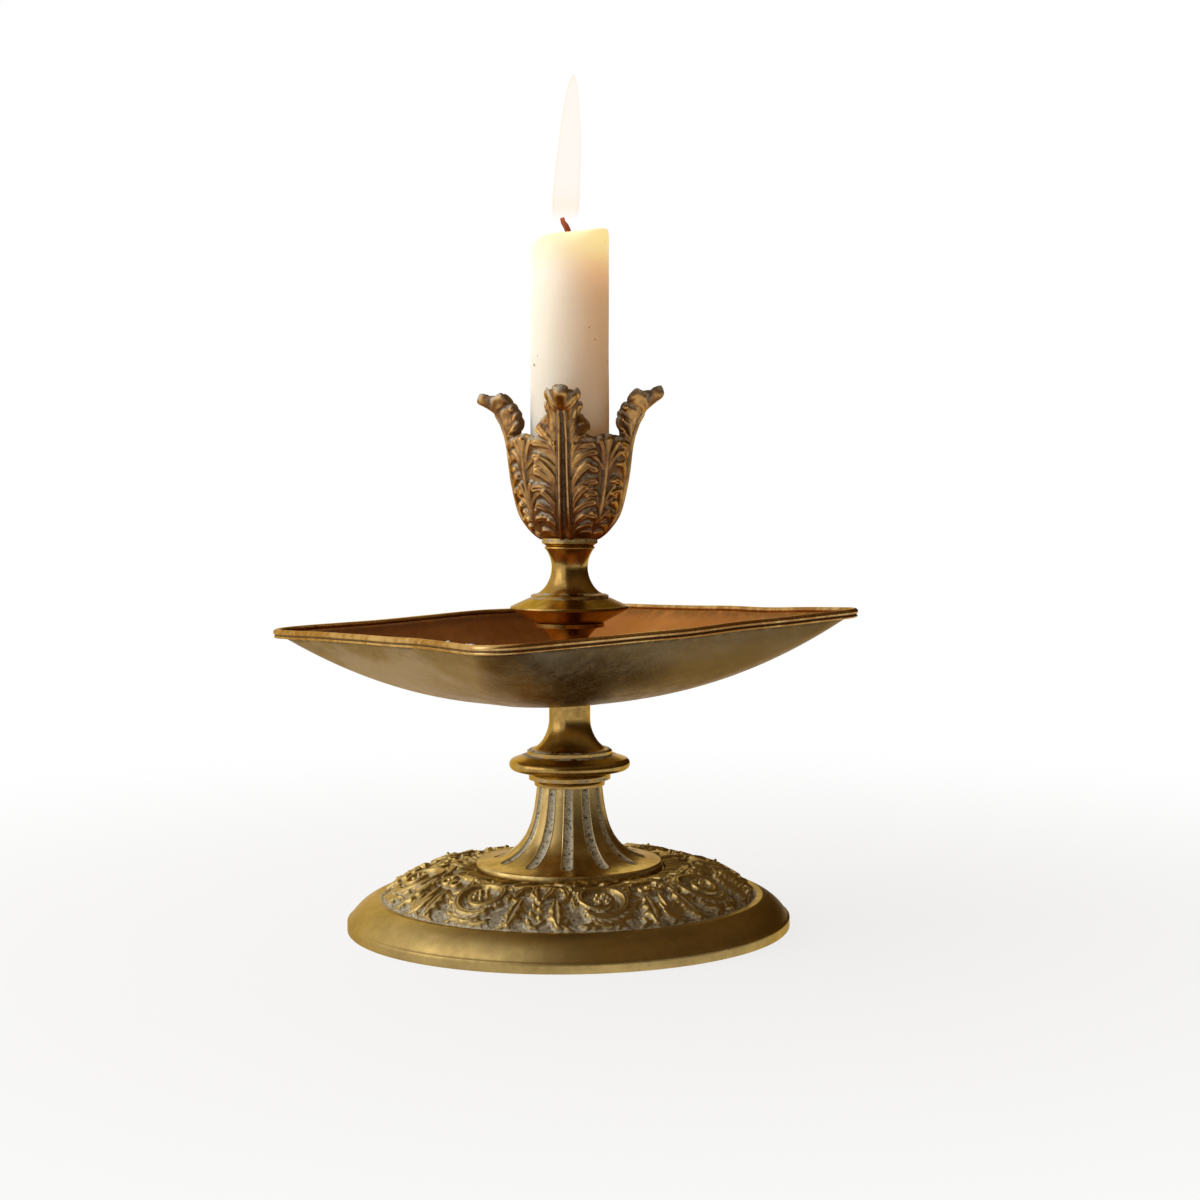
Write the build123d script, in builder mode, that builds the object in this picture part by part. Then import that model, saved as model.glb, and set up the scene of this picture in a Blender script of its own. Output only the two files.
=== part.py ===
from build123d import *
import os
from math import cos, radians, sin, sqrt, tan

# Candle stand: a cast round foot, a fluted column, turned discs and necks, a square tray and a
# leaf cup, all strung on one tie rod that screws into the pricket. A lit candle stands on the spike.
# Millimetres, +Z up, origin at the middle of the foot's underside.
# The tray's corners and the four leaves point along X and Y.

# Tie rod and the hole for it through every piece
rod_radius = 2.0
rod_clearance = 0.15
rod_end_below_nut = 1.2
rod_grip_in_pricket = 4.5

# Foot
foot_height = 15.3
foot_band_height = 2.8
foot_band_quirk = 0.4
bevel_width = 7.1
bevel_top = 8.6
bevel_crown = 0.9
shelf_width = 2.2
relief_outer_radius = 51.8
relief_sink = 0.4
relief_crown = 1.8
foot_seat_margin = 0.8
foot_wall = 2.6
foot_rim_width = 4.5

# Nut and washer that pull the stack together under the foot
washer_radius = 8.0
washer_thickness = 1.2
nut_radius = 5.2
nut_thickness = 3.6

# Fluted column
flange_radius = 25.6
flange_thickness = 2.6
column_height = 23.7
column_top_radius = 9.0
flare_upper_radius = 10.2
flare_upper_height = 12.7
flare_lower_radius = 11.5
flare_lower_height = 3.7
flute_count = 12
flute_turn = 9.0
flute_radius = 1.5
flute_depth = 0.75
flute_stop = 0.8
flute_point_count = 5

# Knop disc under the lower neck
knop_foot_radius = 9.8
knop_collar_radius = 11.4
knop_collar_rise = 1.7
knop_collar_top = 2.4
knop_disc_radius = 16.9
knop_edge_depth = 1.2
knop_edge_bottom = 4.3
knop_edge_top = 7.5
knop_height = 8.6

# Lower neck
lower_step_radius = 11.9
lower_step_height = 1.0
lower_step_inset = 0.7
lower_cove_start = 1.5
lower_cove_end = 10.0
lower_neck_radius = 5.75
lower_neck_height = 14.4
lower_lip_radius = 6.4
lower_lip_height = 1.2

# Tray: a square dish that sits a little out of level and out of centre, highest at the +X corner
tray_tilt = 2.4
tray_shift = 0.5
tray_side = 121.7
tray_corner_radius = 10.2
tray_floor_side = 30.0
tray_floor_roundness = 0.85
tray_depth = 21.4
tray_curve = 2.9
tray_section_count = 5
tray_sheet = 1.2
tray_lip_width = 1.4
tray_lip_thickness = 0.8
edging_width = 2.4
edging_height = 1.3
edging_round = 0.6
seat_radius = 8.0
seat_overlap = 0.5

# Drip disc with its stem inside the tray
stem_foot_radius = 7.4
stem_foot_height = 1.0
stem_radius = 4.9
stem_cove_end = 7.0
stem_flare_start = 14.4
stem_flare_radius = 8.2
stem_collar_radius = 9.7
stem_collar_bottom = 19.3
stem_collar_top = 20.4
drip_cone_radius = 9.4
drip_disc_radius = 16.6
drip_edge_depth = 0.5
drip_edge_bottom = 24.1
drip_edge_top = 25.2
drip_height = 27.3

# Upper neck
upper_step_radius = 10.9
upper_step_height = 0.8
upper_step_inset = 0.6
upper_neck_radius = 5.05
upper_waist_height = 8.6
upper_bead_radius = 6.6
upper_bead_bottom = 13.6
upper_bead_top = 14.6
upper_bead_bulge = 0.4
upper_collar_radius = 7.8
upper_collar_bottom = 15.4
upper_neck_height = 16.8

# Leaf cup
cup_foot_radius = 8.0
cup_foot_slope = 0.5
cup_belly_radius = 12.9
cup_belly_height = 6.1
cup_waist_radius = 15.6
cup_waist_height = 15.5
cup_rim_radius = 17.9
cup_rim_rise = 1.4
leaf_tip_radius = 26.2
leaf_tip_rise = 12.8
cup_wall = 1.9
leaf_edge = 1.2
cup_floor_height = 6.3
cup_floor_radius = 10.9
cup_floor_slope = 0.4
leaf_count = 4
leaf_turn = 4.5
valley_height = 28.6
valley_half_width = 13.6
leaf_half_width = 9.4
leaf_waist_rise = 2.6
leaf_shoulder_rise = 6.8
leaf_notch_half_width = 4.8
leaf_lobe_half_width = 6.6
leaf_lobe_rise = 9.8
leaf_tip_half_width = 4.0
leaf_crown = 1.6
rib_proud = 0.8
rib_half_angle = 3.4
rib_start_height = 2.0
rib_stop = 2.0

# Pricket that holds the candle and takes the top of the tie rod
pricket_plate_radius = 10.2
pricket_plate_thickness = 1.7
spike_base_radius = 3.4
spike_tip_radius = 0.35
spike_height = 15.0

# Candle, wick and flame
candle_radius = 11.0
candle_height = 77.4
candle_shoulder = 3.0
candle_fit = 0.35
pool_radius = 6.0
pool_depth = 0.9
wick_radius = 0.9
wick_fit = 0.08
wick_rise = 4.2
wick_lean = 1.9
wick_bend_radius = 2.0
flame_gap = 0.4
flame_height = 44.0
flame_radius = 3.8
flame_base_radius = 2.7
flame_tip_radius = 0.25
flame_belly_share = 0.25
flame_taper = 1.8
flame_lean = 2.4
flame_shift = 1.25
flame_section_count = 7

rod_hole = rod_radius + rod_clearance

# Heights in the leaf cup, above its foot
cup_rim_height = valley_height + cup_rim_rise
leaf_waist_height = valley_height + leaf_waist_rise
leaf_shoulder_height = valley_height + leaf_shoulder_rise
leaf_lobe_height = valley_height + leaf_lobe_rise
leaf_tip_height = valley_height + leaf_tip_rise

# Heights of the seats, stacked from the floor up
column_base = foot_height
knop_base = column_base + column_height
lower_neck_base = knop_base + knop_height
tray_base = lower_neck_base + lower_neck_height
seat_height = tray_sheet + 2 * seat_radius * tan(radians(tray_tilt))
drip_base = tray_base + seat_height
upper_neck_base = drip_base + drip_height
cup_base = upper_neck_base + upper_neck_height
pricket_base = cup_base + cup_floor_height
candle_base = pricket_base + pricket_plate_thickness
candle_top = candle_base + candle_height
washer_base = foot_height - foot_wall - washer_thickness
nut_base = washer_base - nut_thickness


def side_plane(height, angle=0.0):
    """Upright plane through the axis: local x runs outwards at the angle, local y runs up."""
    turn = radians(angle)
    return Plane(
        origin=(0, 0, height),
        x_dir=(cos(turn), sin(turn), 0),
        z_dir=(sin(turn), -cos(turn), 0),
    )


os.makedirs("parts", exist_ok=True)

# Foot: upright band, convex bevel, flat shelf and a domed ring for the relief, hollow underneath
with BuildPart() as foot:
    foot_seat_radius = flange_radius + foot_seat_margin
    bevel_inner_radius = relief_outer_radius + shelf_width
    bevel_outer_radius = bevel_inner_radius + bevel_width
    foot_radius = bevel_outer_radius + foot_band_quirk
    plate_underside = foot_height - foot_wall
    with BuildSketch(side_plane(0)):
        with BuildLine():
            Polyline(
                (foot_radius - foot_rim_width, 0),
                (foot_radius, 0),
                (foot_radius, foot_band_height),
                (bevel_outer_radius, foot_band_height),
            )
            SagittaArc(
                (bevel_outer_radius, foot_band_height),
                (bevel_inner_radius, bevel_top),
                -bevel_crown,
            )
            Polyline(
                (bevel_inner_radius, bevel_top),
                (relief_outer_radius, bevel_top),
                (relief_outer_radius, bevel_top - relief_sink),
            )
            SagittaArc(
                (relief_outer_radius, bevel_top - relief_sink),
                (foot_seat_radius, foot_height),
                -relief_crown,
            )
            Polyline(
                (foot_seat_radius, foot_height),
                (rod_hole, foot_height),
                (rod_hole, plate_underside),
                (foot_seat_radius, plate_underside),
                (relief_outer_radius, bevel_top - relief_sink - foot_wall),
                (foot_radius - foot_rim_width, foot_band_height),
                (foot_radius - foot_rim_width, 0),
            )
        make_face()
    revolve(axis=Axis.Z)
foot.part.label = "foot"
export_step(foot.part, "parts/foot.step")

# Washer and hexagon nut under the foot's top plate
with BuildPart() as foot_washer:
    with BuildSketch(Plane.XY.offset(washer_base)):
        Circle(washer_radius)
        Circle(rod_hole, mode=Mode.SUBTRACT)
    extrude(amount=washer_thickness)
foot_washer.part.label = "foot_washer"
export_step(foot_washer.part, "parts/foot_washer.step")

with BuildPart() as foot_nut:
    with BuildSketch(Plane.XY.offset(nut_base)):
        RegularPolygon(nut_radius, 6)
        Circle(rod_hole, mode=Mode.SUBTRACT)
    extrude(amount=nut_thickness)
foot_nut.part.label = "foot_nut"
export_step(foot_nut.part, "parts/foot_nut.step")

# Fluted column: a trumpet that flares to a round flange, with round-ended flutes down the flare
with BuildLine(side_plane(column_base, flute_turn)) as flare:
    Bezier(
        (column_top_radius, column_height),
        (flare_upper_radius, flare_upper_height),
        (flare_lower_radius, flare_lower_height),
        (flange_radius, flange_thickness),
    )

with BuildPart() as flute:
    flare_edge = flare.edges()[0]
    flare_side = side_plane(column_base, flute_turn).z_dir
    flute_lift = flute_radius - flute_depth
    flute_shares = [flute_stop * step / (flute_point_count - 1) for step in range(flute_point_count)]
    flute_points = [
        flare_edge @ share - (flare_edge % share).cross(flare_side) * flute_lift for share in flute_shares
    ]
    with BuildLine():
        Line(flute_points[0] + Vector(0, 0, flute_radius), flute_points[0])
        Spline(*flute_points)
    with BuildSketch(Plane(flute_points[0] + Vector(0, 0, flute_radius), z_dir=(0, 0, -1))):
        Circle(flute_radius)
    sweep()
    with Locations(flute_points[-1]):
        Sphere(flute_radius)

with BuildPart() as fluted_column:
    with BuildSketch(side_plane(column_base)):
        with BuildLine():
            Polyline(
                (column_top_radius, column_height),
                (rod_hole, column_height),
                (rod_hole, 0),
                (flange_radius, 0),
                (flange_radius, flange_thickness),
            )
            Bezier(
                (flange_radius, flange_thickness),
                (flare_lower_radius, flare_lower_height),
                (flare_upper_radius, flare_upper_height),
                (column_top_radius, column_height),
            )
        make_face()
    revolve(axis=Axis.Z)
    with PolarLocations(0, flute_count):
        add(flute.part, mode=Mode.SUBTRACT)
fluted_column.part.label = "fluted_column"
export_step(fluted_column.part, "parts/fluted_column.step")

# Knop disc: a small collar under a round-edged disc
with BuildPart() as knop_disc:
    knop_edge_radius = knop_disc_radius - knop_edge_depth
    with BuildSketch(side_plane(knop_base)):
        with BuildLine():
            Line((rod_hole, 0), (knop_foot_radius, 0))
            Bezier(
                (knop_foot_radius, 0),
                (knop_foot_radius, knop_collar_rise),
                (knop_collar_radius, knop_collar_rise),
            )
            Line((knop_collar_radius, knop_collar_rise), (knop_collar_radius, knop_collar_top))
            Bezier(
                (knop_collar_radius, knop_collar_top),
                (knop_collar_radius, knop_edge_bottom),
                (knop_edge_radius, knop_edge_bottom),
            )
            ThreePointArc(
                (knop_edge_radius, knop_edge_bottom),
                (knop_disc_radius, (knop_edge_bottom + knop_edge_top) / 2),
                (knop_edge_radius, knop_edge_top),
            )
            Polyline(
                (knop_edge_radius, knop_edge_top),
                (lower_step_radius + lower_step_inset, knop_height),
                (rod_hole, knop_height),
                (rod_hole, 0),
            )
        make_face()
    revolve(axis=Axis.Z)
knop_disc.part.label = "knop_disc"
export_step(knop_disc.part, "parts/knop_disc.step")

# Lower neck: a stepped foot that coves in to a plain stem under the tray
with BuildPart() as lower_neck:
    lower_cove_radius = lower_step_radius - lower_step_inset
    lower_lip_start = lower_neck_height - lower_lip_height
    with BuildSketch(side_plane(lower_neck_base)):
        with BuildLine():
            Polyline(
                (rod_hole, 0),
                (lower_step_radius, 0),
                (lower_step_radius, lower_step_height),
                (lower_cove_radius, lower_cove_start),
            )
            Bezier(
                (lower_cove_radius, lower_cove_start),
                ((lower_cove_radius + lower_neck_radius) / 2, lower_cove_start),
                (lower_neck_radius, (lower_cove_start + lower_cove_end) / 2),
                (lower_neck_radius, lower_cove_end),
            )
            Line((lower_neck_radius, lower_cove_end), (lower_neck_radius, lower_lip_start))
            Bezier(
                (lower_neck_radius, lower_lip_start),
                (lower_neck_radius, lower_neck_height),
                (lower_lip_radius, lower_neck_height),
            )
            Polyline((lower_lip_radius, lower_neck_height), (rod_hole, lower_neck_height), (rod_hole, 0))
        make_face()
    revolve(axis=Axis.Z)
lower_neck.part.label = "lower_neck"
export_step(lower_neck.part, "parts/lower_neck.step")

# Tray: square outlines, rounder towards the floor, climb a bowl curve along the tilted tray axis
tray_plane = Plane(
    origin=(-tray_shift, 0, tray_base + seat_height / 2 - tray_shift * tan(radians(tray_tilt))),
    x_dir=(cos(radians(tray_tilt)), 0, sin(radians(tray_tilt))),
    z_dir=(-sin(radians(tray_tilt)), 0, cos(radians(tray_tilt))),
)
tray_underside = -tray_sheet / 2
tray_rim = tray_underside + tray_depth


def tray_section(step):
    """Height above the floor, side and corner radius of one outline of the bowl."""
    along = step / (tray_section_count - 1)
    side = tray_floor_side + (tray_side - tray_floor_side) * along
    floor_climb = tray_floor_side**tray_curve
    climb = (side**tray_curve - floor_climb) / (tray_side**tray_curve - floor_climb)
    rim_roundness = 2 * tray_corner_radius / tray_side
    roundness = tray_floor_roundness + (rim_roundness - tray_floor_roundness) * along
    return tray_depth * climb, side, roundness * side / 2


def tray_square(grow, mode=Mode.ADD):
    """The tray's outline at its rim, grown on every side, with its corners along the axes."""
    side = tray_side + 2 * grow
    return RectangleRounded(side, side, tray_corner_radius + grow, rotation=45, mode=mode)


with BuildPart() as tray:
    for raised, bowl_mode in ((0.0, Mode.ADD), (tray_sheet, Mode.SUBTRACT)):
        for step in range(tray_section_count):
            climb, side, corner = tray_section(step)
            with BuildSketch(tray_plane.offset(tray_underside + climb + raised)):
                RectangleRounded(side, side, corner, rotation=45)
        loft(mode=bowl_mode)
    with BuildSketch(tray_plane.offset(tray_rim - tray_lip_thickness)):
        tray_square(tray_lip_width)
        tray_square(-tray_lip_thickness, mode=Mode.SUBTRACT)
    extrude(amount=tray_lip_thickness)
    with BuildSketch(Plane.XY.offset(tray_base - tray_sheet)):
        Circle(seat_radius - seat_overlap)
    extrude(amount=seat_height + 2 * tray_sheet, mode=Mode.SUBTRACT)
    with BuildSketch(Plane.XY.offset(tray_base)):
        Circle(seat_radius)
        Circle(rod_hole, mode=Mode.SUBTRACT)
    extrude(amount=seat_height)
tray.part.label = "tray"
export_step(tray.part, "parts/tray.step")

# Edging: a rounded brass strip that runs round the top of the tray's lip
with BuildPart() as tray_edging:
    with BuildSketch(tray_plane.offset(tray_rim)):
        tray_square(tray_lip_width)
        tray_square(tray_lip_width - edging_width, mode=Mode.SUBTRACT)
    extrude(amount=edging_height)
    fillet(tray_edging.faces().sort_by(Axis(tray_plane.origin, tray_plane.z_dir))[-1].edges(), edging_round)
tray_edging.part.label = "tray_edging"
export_step(tray_edging.part, "parts/tray_edging.step")

# Drip disc: a stem that rises from the tray floor through a collar to a thin-edged disc
with BuildPart() as drip_disc:
    drip_edge_radius = drip_disc_radius - drip_edge_depth
    with BuildSketch(side_plane(drip_base)):
        with BuildLine():
            Polyline((rod_hole, 0), (stem_foot_radius, 0), (stem_foot_radius, stem_foot_height))
            Bezier(
                (stem_foot_radius, stem_foot_height),
                (stem_radius, stem_foot_height),
                (stem_radius, (stem_foot_height + stem_cove_end) / 2),
                (stem_radius, stem_cove_end),
            )
            Line((stem_radius, stem_cove_end), (stem_radius, stem_flare_start))
            Bezier(
                (stem_radius, stem_flare_start),
                (stem_radius, (stem_flare_start + stem_collar_bottom) / 2),
                (stem_flare_radius, stem_collar_bottom),
            )
            Polyline(
                (stem_flare_radius, stem_collar_bottom),
                (stem_collar_radius, stem_collar_bottom),
                (stem_collar_radius, stem_collar_top),
                (drip_cone_radius, stem_collar_top),
                (drip_edge_radius, drip_edge_bottom),
            )
            ThreePointArc(
                (drip_edge_radius, drip_edge_bottom),
                (drip_disc_radius, (drip_edge_bottom + drip_edge_top) / 2),
                (drip_edge_radius, drip_edge_top),
            )
            Polyline(
                (drip_edge_radius, drip_edge_top),
                (upper_step_radius + upper_step_inset, drip_height),
                (rod_hole, drip_height),
                (rod_hole, 0),
            )
        make_face()
    revolve(axis=Axis.Z)
drip_disc.part.label = "drip_disc"
export_step(drip_disc.part, "parts/drip_disc.step")

# Upper neck: a stepped foot, a waisted stem, a bead and the collar that carries the cup
with BuildPart() as upper_neck:
    upper_cove_radius = upper_step_radius - upper_step_inset
    upper_cove_start = upper_step_height + upper_step_inset / 2
    with BuildSketch(side_plane(upper_neck_base)):
        with BuildLine():
            Polyline(
                (rod_hole, 0),
                (upper_step_radius, 0),
                (upper_step_radius, upper_step_height),
                (upper_cove_radius, upper_cove_start),
            )
            Bezier(
                (upper_cove_radius, upper_cove_start),
                ((upper_cove_radius + upper_neck_radius) / 2, upper_cove_start),
                (upper_neck_radius, (upper_cove_start + upper_waist_height) / 2),
                (upper_neck_radius, upper_waist_height),
            )
            Bezier(
                (upper_neck_radius, upper_waist_height),
                (upper_neck_radius, (upper_waist_height + upper_bead_bottom) / 2),
                (upper_bead_radius, upper_bead_bottom),
            )
            ThreePointArc(
                (upper_bead_radius, upper_bead_bottom),
                (upper_bead_radius + upper_bead_bulge, (upper_bead_bottom + upper_bead_top) / 2),
                (upper_bead_radius, upper_bead_top),
            )
            Polyline(
                (upper_bead_radius, upper_bead_top),
                (upper_collar_radius, upper_collar_bottom),
                (upper_collar_radius, upper_neck_height),
                (rod_hole, upper_neck_height),
                (rod_hole, 0),
            )
        make_face()
    revolve(axis=Axis.Z)
upper_neck.part.label = "upper_neck"
export_step(upper_neck.part, "parts/upper_neck.step")


# Leaf cup: one flaring bell, cut down between the leaves, with a raised rib up each leaf
def cup_curve(grow, stop=0.0):
    """Points up the outside of the bell, moved out by an amount and stopped short of the leaf's tip."""
    return (
        (cup_belly_radius + grow, cup_belly_height),
        (cup_waist_radius + grow, cup_waist_height),
        (cup_rim_radius + grow, cup_rim_height),
        (leaf_tip_radius + (grow - stop) * sqrt(0.5), leaf_tip_height - (grow + stop) * sqrt(0.5)),
    )


with BuildPart() as valley_cutter:
    cutter_height = 2 * (leaf_tip_height - valley_height)
    with BuildSketch(Plane.XY.offset(cup_base + valley_height)):
        Circle(2 * leaf_tip_radius)
    extrude(amount=cutter_height)
    for leaf_angle in (leaf_turn, leaf_turn + 90):
        with BuildSketch(side_plane(cup_base, leaf_angle)):
            with BuildLine():
                leaf_top = leaf_tip_height + leaf_crown
                leaf_root = valley_height - cup_wall
                Bezier(
                    (valley_half_width, valley_height),
                    (leaf_half_width, valley_height),
                    (leaf_half_width, leaf_waist_height),
                )
                Bezier(
                    (leaf_half_width, leaf_waist_height),
                    (leaf_half_width, leaf_shoulder_height),
                    (leaf_notch_half_width, leaf_shoulder_height),
                )
                Bezier(
                    (leaf_notch_half_width, leaf_shoulder_height),
                    (leaf_lobe_half_width, leaf_lobe_height),
                    (leaf_tip_half_width, leaf_top),
                    (0, leaf_top),
                )
                Polyline(
                    (0, leaf_top),
                    (0, leaf_root),
                    (valley_half_width, leaf_root),
                    (valley_half_width, valley_height),
                )
            make_face()
            mirror(about=Plane.YZ)
        extrude(amount=2 * leaf_tip_radius, both=True, mode=Mode.SUBTRACT)

with BuildPart() as leaf_cup:
    with BuildSketch(side_plane(cup_base)):
        with BuildLine():
            outer_points = cup_curve(0)
            inner_waist, inner_rim = [(radius - cup_wall, height) for radius, height in outer_points[1:3]]
            inner_tip = (leaf_tip_radius - leaf_edge * sqrt(0.5), leaf_tip_height + leaf_edge * sqrt(0.5))
            Polyline(
                (cup_floor_radius, cup_floor_height),
                (rod_hole, cup_floor_height),
                (rod_hole, 0),
                (cup_foot_radius, 0),
            )
            Spline((cup_foot_radius, 0), *outer_points, tangents=((1, cup_foot_slope), (1, 1)))
            Line(outer_points[-1], inner_tip)
            Spline(
                inner_tip,
                inner_rim,
                inner_waist,
                (cup_floor_radius, cup_floor_height),
                tangents=((-1, -1), (-cup_floor_slope, -1)),
            )
        make_face()
    revolve(axis=Axis.Z)
    for leaf in range(leaf_count):
        with BuildSketch(side_plane(cup_base, leaf_turn + leaf * 360 / leaf_count - rib_half_angle)):
            with BuildLine():
                rib_face = cup_curve(rib_proud, rib_stop)
                rib_back = cup_curve(-leaf_edge / 2, rib_stop)
                rib_foot = (cup_foot_radius, rib_start_height)
                Spline(rib_foot, *rib_face)
                Line(rib_face[-1], rib_back[-1])
                Spline(*reversed(rib_back))
                Line(rib_back[0], rib_foot)
            make_face()
        revolve(axis=Axis.Z, revolution_arc=2 * rib_half_angle)
    add(valley_cutter.part, mode=Mode.SUBTRACT)
leaf_cup.part.label = "leaf_cup"
export_step(leaf_cup.part, "parts/leaf_cup.step")

# Pricket: a plate on the cup's floor with a spike, bored from below for the rod
with BuildPart() as pricket:
    with BuildSketch(side_plane(pricket_base)):
        with BuildLine():
            Polyline(
                (0, rod_grip_in_pricket),
                (rod_hole, rod_grip_in_pricket),
                (rod_hole, 0),
                (pricket_plate_radius, 0),
                (pricket_plate_radius, pricket_plate_thickness),
                (spike_base_radius, pricket_plate_thickness),
                (spike_tip_radius, pricket_plate_thickness + spike_height),
                (0, pricket_plate_thickness + spike_height),
                close=True,
            )
        make_face()
    revolve(axis=Axis.Z)
pricket.part.label = "pricket"
export_step(pricket.part, "parts/pricket.step")

# Tie rod: runs from below the nut up into the pricket
with BuildPart() as tie_rod:
    rod_bottom = nut_base - rod_end_below_nut
    rod_top = pricket_base + rod_grip_in_pricket - rod_clearance
    with BuildSketch(Plane.XY.offset(rod_bottom)):
        Circle(rod_radius)
    extrude(amount=rod_top - rod_bottom)
tie_rod.part.label = "tie_rod"
export_step(tie_rod.part, "parts/tie_rod.step")

# Candle: a round-shouldered wax stick with a melt pool, a hole for the spike and one for the wick
with BuildPart() as candle:
    wick_hole = wick_radius + wick_fit
    spike_hole_top = spike_height + candle_fit
    shoulder_radius = candle_radius - candle_shoulder
    with BuildSketch(side_plane(candle_base)):
        with BuildLine():
            Polyline(
                (wick_hole, candle_height - pool_depth),
                (wick_hole, spike_hole_top),
                (spike_base_radius + candle_fit, 0),
                (candle_radius, 0),
                (candle_radius, candle_height - candle_shoulder),
            )
            ThreePointArc(
                (candle_radius, candle_height - candle_shoulder),
                (
                    shoulder_radius + candle_shoulder * sqrt(0.5),
                    candle_height - candle_shoulder * (1 - sqrt(0.5)),
                ),
                (shoulder_radius, candle_height),
            )
            Line((shoulder_radius, candle_height), (pool_radius, candle_height))
            Bezier(
                (pool_radius, candle_height),
                (pool_radius, candle_height - pool_depth),
                (wick_hole, candle_height - pool_depth),
            )
        make_face()
    revolve(axis=Axis.Z)
candle.part.label = "candle"
export_step(candle.part, "parts/candle.step")

# Wick: straight up through the wax, then leaning over in the flame
with BuildLine() as wick_path:
    FilletPolyline(
        (0, 0, candle_base + spike_hole_top + candle_fit),
        (0, 0, candle_top),
        (-wick_lean, 0, candle_top + wick_rise),
        radius=wick_bend_radius,
    )

with BuildPart() as wick:
    with BuildSketch(Plane.XY.offset(candle_base + spike_hole_top + candle_fit)):
        Circle(wick_radius)
    sweep(path=wick_path.wires()[0])
wick.part.label = "wick"
export_step(wick.part, "parts/wick.step")

# Flame: a slender drop that leans a little as it rises, hollow round the wick
with BuildPart() as flame:
    flame_base = candle_top + flame_gap
    for step in range(flame_section_count):
        rise = step / (flame_section_count - 1)
        if rise < flame_belly_share:
            swell = sin(radians(90 * rise / flame_belly_share))
            width = flame_base_radius + (flame_radius - flame_base_radius) * swell
        else:
            fade = (rise - flame_belly_share) / (1 - flame_belly_share)
            width = flame_tip_radius + (flame_radius - flame_tip_radius) * (1 - fade**flame_taper)
        with BuildSketch(Plane.XY.offset(flame_base + rise * flame_height)):
            with Locations((flame_lean * rise**2 - flame_shift, 0)):
                Circle(width)
    loft()
    with BuildSketch(Plane.XY.offset(candle_base + spike_hole_top + candle_fit)):
        Circle(wick_radius + wick_fit)
    sweep(path=wick_path.wires()[0], mode=Mode.SUBTRACT)
flame.part.label = "flame"
export_step(flame.part, "parts/flame.step")
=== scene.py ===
import bpy
import numpy as np
from math import cos, pi, radians, sin
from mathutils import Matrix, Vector


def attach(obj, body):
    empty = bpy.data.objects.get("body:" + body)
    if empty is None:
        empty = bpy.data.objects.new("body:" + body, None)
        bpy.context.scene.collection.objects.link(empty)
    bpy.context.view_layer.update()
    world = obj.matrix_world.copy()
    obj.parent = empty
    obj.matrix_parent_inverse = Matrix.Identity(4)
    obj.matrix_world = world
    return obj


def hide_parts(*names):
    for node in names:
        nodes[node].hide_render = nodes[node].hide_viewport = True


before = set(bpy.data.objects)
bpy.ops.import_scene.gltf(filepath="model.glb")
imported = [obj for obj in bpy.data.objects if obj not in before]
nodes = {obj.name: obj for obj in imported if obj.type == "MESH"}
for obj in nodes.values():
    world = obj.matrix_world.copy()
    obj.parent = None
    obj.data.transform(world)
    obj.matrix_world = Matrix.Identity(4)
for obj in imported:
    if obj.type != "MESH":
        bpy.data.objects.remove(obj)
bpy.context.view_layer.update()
MM = 0.001
rng = np.random.default_rng(11)


# Meshes

def add_piece(name, points, faces, material, body, replaced=None, slot=None, **layers):
    """A smooth mesh from points in millimetres and quads or triangles, with named point values."""
    points = np.asarray(points, float)
    faces = np.asarray(faces, np.int64)
    a, b, c = (points[faces[:, k]] for k in (0, 1, 2))
    volume = np.einsum("ij,ij->", a, np.cross(b, c))
    if faces.shape[1] == 4:
        volume += np.einsum("ij,ij->", a, np.cross(c, points[faces[:, 3]]))
    if volume < 0:
        faces = faces[:, ::-1]
    mesh = bpy.data.meshes.new(name)
    count, corners = faces.shape
    mesh.vertices.add(len(points))
    mesh.vertices.foreach_set("co", (points * MM).ravel())
    mesh.loops.add(count * corners)
    mesh.loops.foreach_set("vertex_index", faces.ravel().astype(np.int32))
    mesh.polygons.add(count)
    mesh.polygons.foreach_set("loop_start", np.arange(0, count * corners, corners, dtype=np.int32))
    mesh.update(calc_edges=True)
    mesh.validate()
    mesh.polygons.foreach_set("use_smooth", np.ones(len(mesh.polygons), bool))
    for layer, values in layers.items():
        mesh.attributes.new(layer, "FLOAT", "POINT").data.foreach_set("value", np.asarray(values, float).ravel())
    mesh.materials.append(material)
    piece = bpy.data.objects.new(name, mesh)
    bpy.context.collection.objects.link(piece)
    if replaced:
        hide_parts(replaced)
    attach(piece, body)
    return piece


def grid_faces(rows, cols, wrap_rows=False, wrap_cols=True):
    i, j = np.meshgrid(
        np.arange(rows if wrap_rows else rows - 1), np.arange(cols if wrap_cols else cols - 1), indexing="ij"
    )
    below, beside = (i + 1) % rows, (j + 1) % cols
    return np.stack([i * cols + j, i * cols + beside, below * cols + beside, below * cols + j], -1).reshape(-1, 4)


def lathe_points(radius, height, angles):
    """Points of a turned surface; radius and height are per row, or per row and angle."""
    radius = np.broadcast_to(np.asarray(radius, float).reshape(len(radius), -1), (len(radius), len(angles)))
    height = np.broadcast_to(np.asarray(height, float).reshape(len(height), -1), radius.shape)
    return np.stack([radius * np.cos(angles), radius * np.sin(angles), height], -1)


def dense(corners, steps):
    """A profile through corners, with extra points along each stretch; steps is one number or one per stretch."""
    corners = np.asarray(corners, float)
    steps = np.broadcast_to(steps, len(corners) - 1)
    rows = []
    for a, b, n in zip(corners[:-1], corners[1:], steps):
        rows.append(a + (b - a) * np.linspace(0, 1, n, endpoint=False)[:, None])
    return np.concatenate(rows + [corners[-1:]])


def bezier(points, count):
    t = np.linspace(0, 1, count)[:, None]
    a, b, c, d = (np.asarray(p, float) for p in points)
    return a * (1 - t) ** 3 + 3 * b * t * (1 - t) ** 2 + 3 * c * t**2 * (1 - t) + d * t**3


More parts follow.
